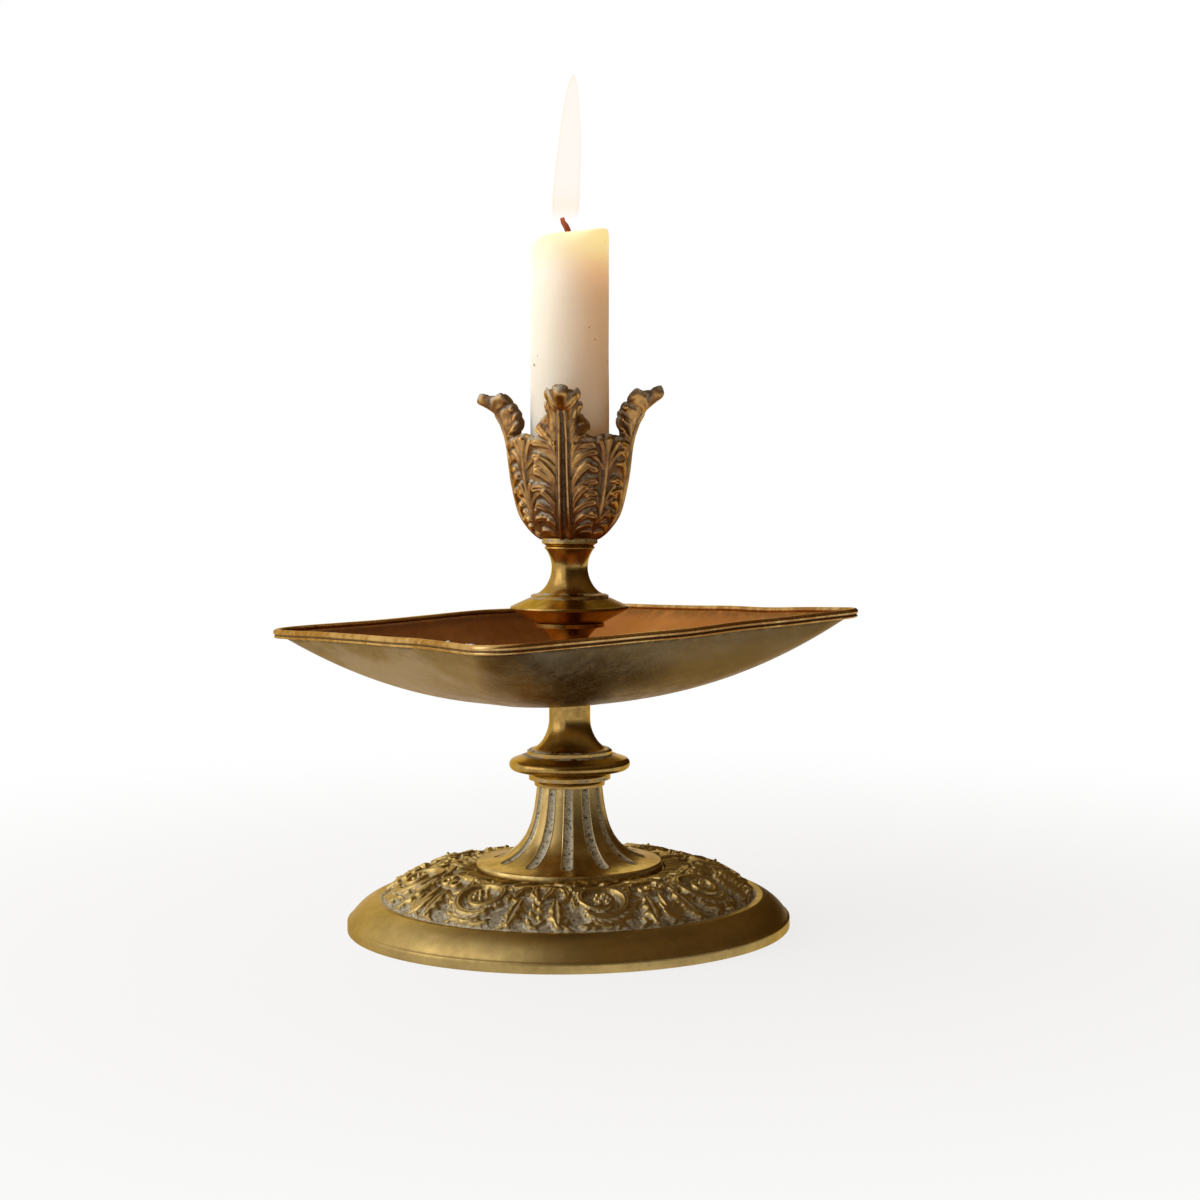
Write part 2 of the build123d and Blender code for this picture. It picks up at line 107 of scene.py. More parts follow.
def smooth(values, times):
    """Softens a ring-shaped field."""
    for _ in range(times):
        values = (np.roll(values, 1, 1) + 2 * values + np.roll(values, -1, 1)) / 4
        padded = np.pad(values, ((1, 1), (0, 0)), mode="edge")
        values = (padded[:-2] + 2 * values + padded[2:]) / 4
    return values


def ease(x, low, high):
    t = np.clip((x - low) / (high - low), 0, 1)
    return t * t * (3 - 2 * t)


def curl(x, y, heading, length, bend, count=9):
    """Points along an arc that leaves (x, y) and turns as it goes."""
    turn = heading + bend * (np.arange(count - 1) + 0.5) / (count - 1)
    step = length / (count - 1)
    return np.stack([np.r_[x, x + np.cumsum(np.cos(turn)) * step], np.r_[y, y + np.cumsum(np.sin(turn)) * step]], 1)


class Carving:
    """Height of carved work on a ring: rows run along the profile, columns round the axis."""

    def __init__(self, along, radius, cols):
        self.y, self.r, self.cols = along, radius, cols
        self.h = np.zeros((len(along), cols))
        self.cover = np.full((len(along), cols), -9.0)

    def stroke(self, angle, points, width, height, vein=0.0, rounding=0.5):
        """A raised stroke; its half width and height are functions of the way along it, 0 to 1."""
        reach = float(np.max(width(np.linspace(0, 1, 9)))) + 1.2
        low, high = points.min(0) - reach, points.max(0) + reach
        rows = np.where((self.y >= low[1]) & (self.y <= high[1]))[0]
        if len(rows) == 0:
            return
        tight = self.r[rows].min()
        first = int(np.floor((angle + low[0] / tight) / (2 * pi) * self.cols))
        last = int(np.ceil((angle + high[0] / tight) / (2 * pi) * self.cols))
        cols = np.arange(first, last + 1)
        x = (cols[None, :] / self.cols * 2 * pi - angle) * self.r[rows][:, None]
        y = np.repeat(self.y[rows][:, None], len(cols), 1)
        near = np.full(x.shape, 1e9)
        along = np.zeros(x.shape)
        for k in range(len(points) - 1):
            (ax, ay), (bx, by) = points[k], points[k + 1]
            dx, dy = bx - ax, by - ay
            t = np.clip(((x - ax) * dx + (y - ay) * dy) / (dx * dx + dy * dy + 1e-9), 0, 1)
            d = (x - ax - t * dx) ** 2 + (y - ay - t * dy) ** 2
            along = np.where(d < near, (k + t) / (len(points) - 1), along)
            near = np.minimum(d, near)
        half = np.maximum(width(along), 0.05)
        q = np.sqrt(near) / half
        h = height(along) * (np.clip(1 - q * q, 0, 1) ** rounding - vein * np.exp(-((q / 0.2) ** 2)))
        where = np.ix_(rows, cols % self.cols)
        self.h[where] = np.maximum(self.h[where], np.where(q < 1, h, 0))
        self.cover[where] = np.maximum(self.cover[where], half - np.sqrt(near))

    def leaf(self, angle, x, y, heading, length, half, height, bend=0.0, lobes=0.0, vein=0.3, rise=0.4):
        def width(t):
            w = half * np.sin(pi * np.clip(t, 0.02, 0.985) ** 0.75) ** 0.7
            return w * (1 + 0.2 * np.cos(2 * pi * lobes * t)) if lobes else w

        self.stroke(angle, curl(x, y, heading, length, bend), width, lambda t: height * (1 - rise + rise * t), vein)

    def berry(self, angle, x, y, radius, height):
        self.stroke(angle, np.array([(x, y), (x + 0.001, y)]), lambda t: radius + 0 * t, lambda t: height + 0 * t)


def wobble(a):
    return rng.normal(0, a)


# Materials

class Paint:
    """A node material built step by step around one Principled shader."""

    def __init__(self, name):
        self.mat = bpy.data.materials.new(name)
        self.mat.use_nodes = True
        self.tree = self.mat.node_tree
        self.shader = self.tree.nodes["Principled BSDF"]
        self.coords = self.tree.nodes.new("ShaderNodeTexCoord").outputs["Object"]

    def node(self, kind, out=0, inputs=(), **props):
        n = self.tree.nodes.new(kind)
        for key, value in props.items():
            setattr(n, key, value)
        for key, value in dict(inputs).items():
            self.put(n.inputs[key], value)
        return n.outputs[out]

    def put(self, socket, value):
        if isinstance(value, bpy.types.NodeSocket):
            self.tree.links.new(value, socket)
        elif isinstance(value, tuple) and len(value) == 3 and socket.type == "RGBA":
            socket.default_value = (*value, 1)
        else:
            socket.default_value = value

    def set(self, **inputs):
        for key, value in inputs.items():
            self.put(self.shader.inputs[key.replace("_", " ")], value)

    def noise(self, scale, detail=4.0, rough=0.55, stretch=None):
        vector = self.coords
        if stretch:
            vector = self.node("ShaderNodeMapping", inputs={"Vector": vector, "Scale": stretch})
        settings = {"Vector": vector, "Scale": scale, "Detail": detail, "Roughness": rough}
        return self.node("ShaderNodeTexNoise", inputs=settings)

    def attribute(self, name):
        return self.node("ShaderNodeAttribute", out="Fac", attribute_name=name)

    def span(self, value, low, high, to_low=0.0, to_high=1.0):
        return self.node(
            "ShaderNodeMapRange",
            inputs={"Value": value, "From Min": low, "From Max": high, "To Min": to_low, "To Max": to_high},
            interpolation_type="SMOOTHSTEP",
        )

    def math(self, op, a, b=0.0):
        return self.node("ShaderNodeMath", inputs={0: a, 1: b}, operation=op, use_clamp=op in ("ADD", "SUBTRACT"))

    def mix(self, fac, a, b):
        n = self.tree.nodes.new("ShaderNodeMix")
        n.data_type = "RGBA"
        self.put(n.inputs["Factor"], fac)
        self.put(n.inputs["A"], a)
        self.put(n.inputs["B"], b)
        return n.outputs["Result"]

    def bump(self, height, distance, strength=1.0):
        normal = self.node("ShaderNodeBump", inputs={"Height": height, "Distance": distance, "Strength": strength})
        self.set(Normal=normal)

    def height_lines(self, levels, half):
        """Bands round the axis at these heights, in metres."""
        z = self.node("ShaderNodeSeparateXYZ", out="Z", inputs={0: self.coords})
        total = None
        for level in levels:
            gap = self.math("ABSOLUTE", self.node("ShaderNodeMath", inputs={0: z, 1: level}, operation="SUBTRACT"))
            band = self.span(gap, 0.0, half, 1.0, 0.0)
            total = band if total is None else self.math("MAXIMUM", total, band)
        return total


def old_metal(
    name, bright, dull, dark, pale=(0.52, 0.5, 0.42), rough=0.3, patch=45.0, lines=(), wear=(0.42, 0.6),
    edge=(0.86, 0.64, 0.34),
):
    """Worn brass: bright highs, duller patches, dark hollows and pale dry residue in the deepest ones."""
    p = Paint(name)
    patches = p.noise(patch, 5.0, 0.6)
    mottle = p.noise(420.0, 4.0, 0.6)
    specks = p.noise(2300.0, 2.0, 0.5)
    blotch = p.math("ADD", p.math("MULTIPLY", patches, 0.7), p.math("MULTIPLY", mottle, 0.3))
    colour = p.mix(p.span(blotch, *wear), dull, bright)
    colour = p.mix(p.math("MULTIPLY", p.attribute("high"), p.span(mottle, 0.25, 0.6)), colour, bright)
    colour = p.mix(p.math("MULTIPLY", p.span(specks, 0.66, 0.74), 0.45), colour, dark)
    # darkens the colour by the piece's hollow value; on the cup's inner wall and in the rolled edge's crease that value
    # is painted shade
    hollow = p.math("MULTIPLY", p.attribute("hollow"), p.span(mottle, 0.2, 0.55, 0.6, 1.0))
    colour = p.mix(hollow, colour, dark)
    crust = p.math("MULTIPLY", p.attribute("crust"), p.span(p.noise(900.0, 5.0, 0.7), 0.34, 0.5))
    if lines:
        band = p.math("MULTIPLY", p.height_lines(lines, 0.00045), p.span(p.noise(260.0, 3.0, 0.6), 0.42, 0.62))
        crust = p.math("MAXIMUM", crust, band)
    tint = p.mix(p.span(specks, 0.35, 0.65), pale, tuple(0.62 * c for c in pale))
    worn = p.span(blotch, 0.3, 0.7, rough + 0.12, rough - 0.04)
    p.set(
        Base_Color=p.mix(crust, colour, tint),
        Metallic=p.math("SUBTRACT", 1.0, p.math("MAXIMUM", crust, p.math("MULTIPLY", hollow, 0.5))),
        Roughness=p.math("ADD", worn, p.math("MULTIPLY", p.math("MAXIMUM", crust, hollow), 0.4)),
        Specular_Tint=edge,
    )
    p.bump(p.math("ADD", p.math("MULTIPLY", mottle, 0.5), p.math("MULTIPLY", specks, 0.3)), 0.00012, 0.35)
    return p.mat


foot_brass = old_metal(
    "foot brass", (0.57, 0.405, 0.15), (0.32, 0.22, 0.08), (0.10, 0.065, 0.03), (0.86, 0.79, 0.61), rough=0.33,
    wear=(0.22, 0.82),
)
column_brass = old_metal(
    "column brass", (0.66, 0.49, 0.20), (0.42, 0.29, 0.11), (0.10, 0.07, 0.04), (0.88, 0.83, 0.67), rough=0.27,
)
turned_brass = old_metal(
    "turned brass", (0.46, 0.29, 0.085), (0.30, 0.178, 0.05), (0.10, 0.055, 0.02), (0.7, 0.66, 0.52), rough=0.2,
    lines=(0.0476, 0.0489, 0.0914, 0.0925, 0.1074, 0.0412),
)
edge_brass = old_metal("edging brass", (0.62, 0.40, 0.155), (0.35, 0.17, 0.05), (0.12, 0.07, 0.03), rough=0.24)
cup_bronze = old_metal(
    "cup bronze", (0.54, 0.305, 0.10), (0.215, 0.098, 0.034), (0.085, 0.04, 0.018), (0.86, 0.79, 0.62), rough=0.29,
    patch=70.0, edge=(0.8, 0.5, 0.26),
)
iron = old_metal(
    "iron", (0.16, 0.14, 0.12), (0.10, 0.085, 0.07), (0.05, 0.03, 0.02), rough=0.5, edge=(0.6, 0.58, 0.55),
)


def tray_metal():
    """Silvery olive brass outside, warm copper inside; the piece tells which by its value inside."""
    p = Paint("tray brass")
    patches = p.noise(38.0, 5.0, 0.6)
    mottle = p.noise(300.0, 4.0, 0.65)
    scratch = p.noise(220.0, 3.0, 0.6, stretch=(6.0, 0.5, 1.0))
    outside = p.mix(p.span(patches, 0.4, 0.62), (0.255, 0.185, 0.09), (0.365, 0.30, 0.195))
    outside = p.mix(p.span(mottle, 0.5, 0.72, 0.0, 0.6), outside, (0.44, 0.285, 0.10))
    copper = p.mix(p.span(patches, 0.35, 0.65), (0.37, 0.14, 0.042), (0.46, 0.19, 0.06))
    # painted shade: the outside is darker towards +X, the side away from the window lamp
    x = p.node("ShaderNodeSeparateXYZ", out="X", inputs={0: p.coords})
    outside = p.mix(p.span(x, -0.01, 0.05, 0.0, 0.75), outside, (0.13, 0.085, 0.04))
    inside = p.attribute("inside")
    colour = p.mix(inside, outside, copper)
    # painted shade: where the hollow value is set, under and just inside the rim, the colour goes nearly black
    colour = p.mix(p.math("MULTIPLY", p.attribute("hollow"), p.span(mottle, 0.3, 0.55)), colour, (0.06, 0.045, 0.03))
    colour = p.mix(p.math("MULTIPLY", p.span(p.noise(1500.0, 2.0), 0.68, 0.76), 0.5), colour, (0.09, 0.06, 0.03))
    p.set(Base_Color=colour, Metallic=1.0, Specular_Tint=(0.8, 0.6, 0.4),
          Roughness=p.math("ADD", p.span(mottle, 0.3, 0.7, 0.28, 0.4), p.math("MULTIPLY", scratch, 0.06)))
    p.bump(p.math("ADD", p.math("MULTIPLY", mottle, 0.6), p.math("MULTIPLY", scratch, 0.4)), 0.0002, 0.3)
    return p.mat


tray_brass = tray_metal()


def candle_wax():
    p = Paint("wax")
    z = p.node("ShaderNodeSeparateXYZ", out="Z", inputs={0: p.coords})
    x = p.node("ShaderNodeSeparateXYZ", out="X", inputs={0: p.coords})
    cloud = p.noise(60.0, 4.0, 0.5)
    base = p.mix(p.span(cloud, 0.35, 0.7), (0.86, 0.80, 0.68), (0.90, 0.86, 0.77))
    soot = p.math("MULTIPLY", p.span(p.noise(520.0, 1.0, 0.3), 0.72, 0.75), p.span(p.noise(50.0, 1.0), 0.46, 0.56))
    base = p.mix(soot, base, (0.16, 0.12, 0.09))
    # painted light: the wax glows near its top and more towards +X, warm as if lit by the flame; the glow colour goes
    # from pale on -X to orange on +X and to yellow at the very top
    glow = p.math("ADD", p.span(z, 0.125, 0.185, 0.1, 0.36), p.math("MULTIPLY", p.span(z, 0.172, 0.192), p.span(x, -0.006, 0.010, 0.1, 0.4)))
    tint = p.mix(p.span(x, -0.009, 0.010), (1.0, 0.86, 0.66), (1.0, 0.5, 0.19))
    p.set(
        Base_Color=base, Roughness=p.span(cloud, 0.3, 0.7, 0.38, 0.52), Subsurface_Weight=0.35,
        Subsurface_Radius=(1.0, 0.6, 0.32), Subsurface_Scale=0.006,
        Emission_Color=p.mix(p.span(z, 0.180, 0.192), tint, (1.0, 0.80, 0.30)), Emission_Strength=glow,
    )
    p.bump(p.noise(700.0, 3.0), 0.00008, 0.3)
    return p.mat


wax = candle_wax()


def charred():
    p = Paint("wick")
    z = p.node("ShaderNodeSeparateXYZ", out="Z", inputs={0: p.coords})
    grain = p.noise(1800.0, 3.0)
    colour = p.mix(p.span(grain, 0.35, 0.65), (0.10, 0.018, 0.008), (0.22, 0.05, 0.018))
    ember = p.span(z, 0.1935, 0.1985, 0.12, 0.3)
    p.set(Base_Color=colour, Roughness=0.85, Emission_Color=(1.0, 0.16, 0.03), Emission_Strength=ember)
    p.bump(grain, 0.0002, 0.5)
    return p.mat


wick_cotton = charred()


def cold_wax():
    p = Paint("spilt wax")
    cloud = p.noise(500.0, 4.0, 0.6)
    colour = p.mix(p.span(cloud, 0.35, 0.65), (0.62, 0.52, 0.38), (0.84, 0.78, 0.66))
    p.set(Base_Color=colour, Roughness=p.span(cloud, 0.3, 0.7, 0.4, 0.6))
    p.bump(cloud, 0.0002, 0.5)
    return p.mat


spilt_wax = cold_wax()


def burning(name, low, high, solid):
    """Glowing gas: colour by height, clear at the wick and thin enough to see through where solid is under 1."""
    p = Paint(name)
    z = p.node("ShaderNodeSeparateXYZ", out="Z", inputs={0: p.coords})
    p.set(
        Base_Color=(0.0, 0.0, 0.0), Roughness=1.0, Specular_IOR_Level=0.0, Emission_Strength=1.0,
        Emission_Color=p.mix(p.span(z, 0.198, 0.208), low, high), Alpha=p.span(z, 0.1966, 0.2015, 0.0, solid),
    )
    return p.mat


# Foot with its ring of scrolls, leaves and berries

def carve_ring(along, radius, cols, units=8):
    """Scrolls round flowers, paired leaves, berries and tongues, with each second unit mirrored."""
    ring = Carving(along, radius, cols)
    inner = along[-1]
    for k in range(units):
        at = 2 * pi * (k + 0.5) / units
        gap = 2 * pi * k / units
        m = 1 if k % 2 == 0 else -1

        def head(v):
            return v if m > 0 else pi - v

        # tongues under the flange, and small sprays along the outer edge
        for i in range(7):
            ring.leaf(at, (i - 3) * 3.0 + wobble(0.3), inner + 0.2, -pi / 2 + wobble(0.2) + 0.1 * (i - 3),
                      5.4 + 2.2 * (i % 2) + wobble(0.4), 1.25 + wobble(0.1), 1.3 + wobble(0.1), wobble(0.6))
        for i in range(10):
            ring.leaf(at, (i - 4.5) * 3.9 + wobble(0.6), 0.9 + wobble(0.3), (0.3 if i % 2 else pi - 0.3) + wobble(0.2),
                      4.6 + wobble(0.5), 0.75, 1.0, 0.9 if i % 2 else -0.9, 0, 0.15)
        ring.leaf(at, m * -7.0, 2.4, head(-0.1), 15.0, 1.7, 1.2, m * 0.5, 4.5)
        ring.leaf(at, m * 4.0, 20.9, head(0.2), 12.5, 1.7, 1.3, m * -0.6, 3.5)
        ring.leaf(at, m * -4.0, 20.6, head(pi - 0.25), 11.5, 1.6, 1.3, m * 0.7, 3.5)
        # scroll with its leaflets, round a flower
        cx, cy = 0.0, 11.6
        start = -2.2

        def reach(f):
            return 7.3 * np.exp(-0.05 * np.minimum(f, 5.6)) * np.exp(-0.27 * np.maximum(f - 5.6, 0))

        for i, f in enumerate(np.linspace(0.1, 6.4, 13)):
            r = float(reach(f))
            bx, by = cx + m * r * cos(start + f), cy + r * sin(start + f)
            ring.leaf(at, bx, by, head(start + f + pi / 2 - 0.75 + wobble(0.12)), r * (0.72 + 0.16 * cos(i * 2.1)),
                      0.17 * r + 0.35, 1.5 + wobble(0.12), m * (1.0 + wobble(0.2)), 2.5 if i % 2 else 0)
            if 1 < i < 10:
                ring.leaf(at, bx, by, head(start + f + pi / 2 + 0.8 + wobble(0.1)), r * 0.42, 0.11 * r + 0.25, 1.2, -m * 0.8)
        turns = np.linspace(0, 9.6, 60)
        stem = np.stack([cx + m * reach(turns) * np.cos(start + turns), cy + reach(turns) * np.sin(start + turns)], 1)
        ring.stroke(at, stem, lambda t: 1.35 - 0.5 * t, lambda t: 1.6 + 0.2 * t, 0.25)
        for i in range(6):
            b = 2 * pi * i / 6 + wobble(0.1)
            ring.berry(at, cx + 1.75 * cos(b), cy + 1.75 * sin(b), 1.0, 1.75)
        ring.berry(at, cx, cy, 0.95, 2.15)
        # the leaves that stand between two scrolls
        for side in (1, -1):
            place = at + side * radians(15.0)
            ring.leaf(place, 0, 1.6, pi / 2 - side * radians(8.0), 10.5, 2.4, 1.75, side * 0.1, 3.5, 0.35, 0.15)
            ring.leaf(place, side * 0.4, 11.0, pi / 2 + side * 0.7, 5.0, 1.1, 1.3, side * 0.9)
            ring.leaf(place, side * -1.6, 13.6, pi / 2 + side * 0.25, 7.0, 1.4, 1.4, -side * 1.3, 2.5)
        # and what fills the middle between them, of two kinds
        if k % 2 == 0:
            for i in range(7):
                ring.berry(gap, (1.15 if i % 2 else -1.15) * (1 - 0.08 * i) + wobble(0.2), 3.2 + 1.45 * i + wobble(0.2),
                           1.0 + 0.25 * rng.random(), 1.6 + wobble(0.12))
            for side in (1, -1):
                ring.leaf(gap, side * 0.6, 13.6, pi / 2 - side * 0.8, 6.5, 1.5, 1.5, side * 1.2, 2.5)
        else:
            for v, n in ((0.0, 10.5), (0.5, 7.0), (-0.5, 7.0), (1.0, 4.6), (-1.0, 4.6)):
                ring.leaf(gap, 0, 2.2, pi / 2 + v, n, 1.15, 1.6, -0.6 * v, 0, 0.2)
            for side in (1, -1):
                spin = np.linspace(0, 5.2, 22)
                tight = 2.3 * np.exp(-0.22 * spin)
                eye = np.stack([side * (2.5 + tight * np.cos(spin + 2.6)), 15.4 + tight * np.sin(spin + 2.6)], 1)
                ring.stroke(gap, eye, lambda t: 0.75 - 0.2 * t, lambda t: 1.4 + 0.2 * t, 0.25)
    return ring.h


def make_foot():
    cols = 1440
    angles = np.arange(cols) / cols * 2 * pi
    # domed ring between the flange and the shelf
    t = np.linspace(0, 1, 116)
    dome_r = 51.8 + (26.4 - 51.8) * t
    dome_z = 8.2 + 7.1 * t + 4 * 2.3 * t * (1 - t)
    along = np.r_[0, np.cumsum(np.hypot(np.diff(dome_r), np.diff(dome_z)))]
    h = carve_ring(along, dome_r, cols) * (1.1 + 0.4 * np.sin(pi * t))[:, None]
    edge = ease(along, 0.0, 0.9)[:, None] * ease(along[-1] - along, 0.0, 0.5)[:, None]
    ground = 0.09 * smooth(rng.normal(0, 1, h.shape), 2)
    h = smooth(np.maximum(h, 0) * edge, 1) + ground * edge
    crust = np.clip((smooth(h, 6) - h) / 0.2, 0, 1) + 0.5 * (h < 0.25)
    high = np.clip((h - smooth(h, 14)) / 0.4, 0, 1) * np.clip(h / 1.2, 0, 1)
    hollow = np.clip(1 - h / 0.8, 0, 1) * 0.8
    slope = np.gradient(dome_z, along), -np.gradient(dome_r, along)
    dome = np.stack([
        (dome_r[:, None] + h * slope[0][:, None]) * np.cos(angles),
        (dome_r[:, None] + h * slope[0][:, None]) * np.sin(angles),
        dome_z[:, None] + h * slope[1][:, None],
    ], -1)
    arc = np.linspace(0, 1, 22)
    swell = 3.6 * 0.9 * (arc * (1 - arc))[:, None] * np.array([0.63, 0.77])
    bevel = np.stack([54.0 + 7.1 * arc, 8.6 - 5.8 * arc], 1) + swell
    before = np.concatenate([
        dense([(2.15, 12.7), (26.4, 12.7), (51.8, 5.6), (57.0, 2.8), (57.0, 0.15), (57.15, 0.0)], [3, 6, 3, 2, 1])[:-1],
        dense([(57.15, 0.0), (61.3, 0.0), (61.5, 0.2), (61.5, 2.65), (61.42, 2.78), (61.15, 2.82)], [2, 1, 3, 1, 1]),
        bevel[::-1][1:],
        dense([(53.85, 8.62), (53.6, 8.58), (52.05, 8.55), (51.9, 8.45), (51.84, 8.25)], [1, 3, 1, 1])[:-1],
    ])
    after = dense([(26.3, 15.3), (2.15, 15.3)], 3)
    band = np.clip(0.06 * smooth(rng.normal(0, 1, (len(before), cols)), 8), -0.02, 0.02)
    front = lathe_points(before[:, 0][:, None] + band, before[:, 1], angles)
    points = np.concatenate([front, dome, lathe_points(after[:, 0], after[:, 1], angles)])
    rows = len(points)
    pad = lambda v, a: np.concatenate([np.full((len(before), cols), a), v, np.full((len(after), cols), a)])
    groove = np.zeros((rows, cols))
    groove[len(before) - 2:len(before) + 2] = 0.8
    add_piece("foot_relief", points.reshape(-1, 3), grid_faces(rows, cols, wrap_rows=True), foot_brass,
              "stand", "foot", "foot_brass", crust=np.maximum(pad(np.clip(crust, 0, 1), 0), groove),
              high=pad(high, 0), hollow=pad(hollow, 0))


make_foot()


# Fluted column

def make_column():
    cols, base, turn = 960, 15.3, radians(9.0)
    angles = np.arange(cols) / cols * 2 * pi
    flare = bezier([(9.0, 23.7), (10.2, 12.7), (11.5, 3.7), (25.6, 2.6)], 150)
    along = np.r_[0, np.cumsum(np.hypot(*np.diff(flare, axis=0).T))]
    stop = 0.80 * along[-1]
    nearest = (angles - turn + pi / 12) % (pi / 6) - pi / 12
    across = nearest[None, :] * flare[:, 0][:, None]
    past = np.maximum(along - stop, 0)[:, None]
    half = (1.02 + 0.5 * np.clip(along / stop, 0, 1))[:, None]
    q = np.sqrt(across**2 + past**2) / half
    cut = 0.95 * np.sqrt(np.clip(1 - q**2, 0, 1)) * ease(along, -0.1, 0.1)[:, None]
    lip = 0.12 * np.exp(-(((q - 1.08) / 0.1) ** 2))
    d = lip - cut
    normal = np.gradient(flare, along, axis=0)
    out = np.stack([-normal[:, 1], normal[:, 0]], 1)
    radius = flare[:, 0][:, None] + d * out[:, 0][:, None]
    height = flare[:, 1][:, None] + d * out[:, 1][:, None]
    rim = dense(
        [(25.85, 2.35), (26.0, 2.1), (26.0, 0.25), (25.85, 0.0), (2.15, 0.0), (2.15, 23.7), (8.9, 23.7)], [1, 2, 1, 3, 2, 2],
    )
    points = np.concatenate([
        lathe_points(radius, height + base, angles), lathe_points(rim[:, 0], rim[:, 1] + base, angles),
    ])
    rows = len(points)
    pad = lambda v: np.concatenate([v, np.zeros((len(rim), cols))])
    add_piece("fluted_column_cast", points.reshape(-1, 3), grid_faces(rows, cols, wrap_rows=True), column_brass,
              "stand", "fluted_column", "column_brass", crust=pad(np.clip(cut / 0.5, 0, 1)),
              hollow=pad(np.clip((cut - 0.1) / 0.4, 0, 1)), high=pad(np.clip(lip / 0.1, 0, 1)))


make_column()


# Square tray with a rolled edge

TRAY_TILT = radians(2.4)
TRAY_AT = np.array([-0.5, 0.0, 62.935 - 0.5 * np.tan(TRAY_TILT)])
RIM_RISE = [0.7, -0.4, -0.4, 1.5, 0.3, 0.7, -0.5, -0.6]


def square_reach(angles, side, corner):
    """Distance from the middle to a round-cornered square whose corners point along the axes."""
    a = angles + pi / 4
    c, s = np.abs(np.cos(a)), np.abs(np.sin(a))
    h = side / 2
    straight = h / np.maximum(c, s)
    k = h - corner
    b = k * (c + s)
    rounded = b + np.sqrt(np.maximum(b * b - 2 * k * k + corner * corner, 0))
    return np.where(straight * np.minimum(c, s) <= k, straight, rounded)


def tray_place(reach, angles, height):
    """Puts a point of the level tray where the tilted, slightly bent tray has it."""
    x, y = reach * np.cos(angles), reach * np.sin(angles)
    share = np.clip(reach / 84.0, 0, 1.1) ** 2
    turn = (angles % (2 * pi)) / (pi / 4)
    low = np.floor(turn).astype(int)
    f = turn - low
    f = f * f * (3 - 2 * f)
    rise = np.array(RIM_RISE)
    z = height + share * (rise[low % 8] * (1 - f) + rise[(low + 1) % 8] * f)
    x = x - 1.1 * share
    c, s = cos(TRAY_TILT), sin(TRAY_TILT)
    return np.stack([TRAY_AT[0] + x * c - z * s, TRAY_AT[1] + y, TRAY_AT[2] + x * s + z * c], -1)


def tray_curve(side):
    p, floor, rim = 2.9, 30.0, 121.7
    return 21.4 * np.clip((side**p - floor**p) / (rim**p - floor**p), 0, None)


def make_tray():
    cols = 720
    angles = np.arange(cols) / cols * 2 * pi
    sides = np.r_[np.linspace(5.0, 28.0, 6), np.linspace(30.0, 121.7, 64)]
    along = np.clip((sides - 30.0) / 91.7, 0, 1)
    corner = (0.85 + (2 * 10.2 / 121.7 - 0.85) * along) * sides / 2
    reach = np.array([square_reach(angles, s, c) for s, c in zip(sides, corner)])
    waves = ((3, 0.4, 0.5), (5, 2.0, 0.7), (9, 4.1, 0.5), (14, 1.2, 0.25))
    dent = 0.16 * sum(np.sin(k * angles[None, :] + p + 2.2 * along[:, None]) * w for k, p, w in waves) * along[:, None]
    under = tray_curve(sides)[:, None] - 0.6 + dent
    upper = under + 1.2
    lip = [(0.0, 0.0), (0.75, -0.05), (0.8, -0.75), (0.2, -0.85)]
    outer = tray_place(reach, angles[None, :], under)
    inner = tray_place(reach, angles[None, :], np.minimum(upper, 20.8 + dent))
    rim = np.array([tray_place(reach[-1] + a, angles, 20.8 + b + dent[-1]) for a, b in lip])
    points = np.concatenate([inner, rim, outer[::-1]])
    rows = len(points)
    within = np.zeros((rows, cols))
    within[:len(sides)] = 1
    # painted shade: a dark band under the rolled rim and a wider faint one inward of it on the underside, and a lighter
    # band just inside the rim on top
    rim_painted_shade = np.zeros((rows, cols))
    below = np.exp(-(((sides - 119.5) / 1.6) ** 2)) * 1.0 + 0.25 * np.exp(-(((sides - 114) / 4.0) ** 2))
    rim_painted_shade[len(sides) + len(lip):] = below[::-1][:, None]
    rim_painted_shade[:len(sides)] = (0.5 * np.exp(-(((sides - 118) / 3.0) ** 2)))[:, None]
    add_piece("dished_tray", points.reshape(-1, 3), grid_faces(rows, cols, wrap_rows=True), tray_brass,
              "stand", "tray", "tray_brass", inside=within, hollow=rim_painted_shade)
    # rolled edge: a round bead above a thin one
    bead = [(0.35 + 1.0 * cos(a), 21.25 + 0.86 * sin(a)) for a in np.linspace(-1.15, 3.9, 15)]
    fine = [(0.55 + 0.62 * cos(a), 20.02 + 0.42 * sin(a)) for a in np.linspace(-1.9, 1.15, 9)]
    section = fine + [(0.62, 20.47)] + bead + [(-0.3, 20.2)]
    ring = np.array([tray_place(reach[-1] + a, angles, b + dent[-1]) for a, b in section])
    # painted shade: the crease between the thin bead and the round bead is painted dark through the hollow value
    dark = np.zeros((len(section), cols))
    dark[8:12] = 0.9
    dark[10] = 1.0
    add_piece("rolled_edge", ring.reshape(-1, 3), grid_faces(len(section), cols, wrap_rows=True), edge_brass,
              "stand", "tray_edging", "edging_brass", hollow=dark)


make_tray()


# Acanthus cup

CUP_AT, CUP_TURN = 107.97, radians(4.5)


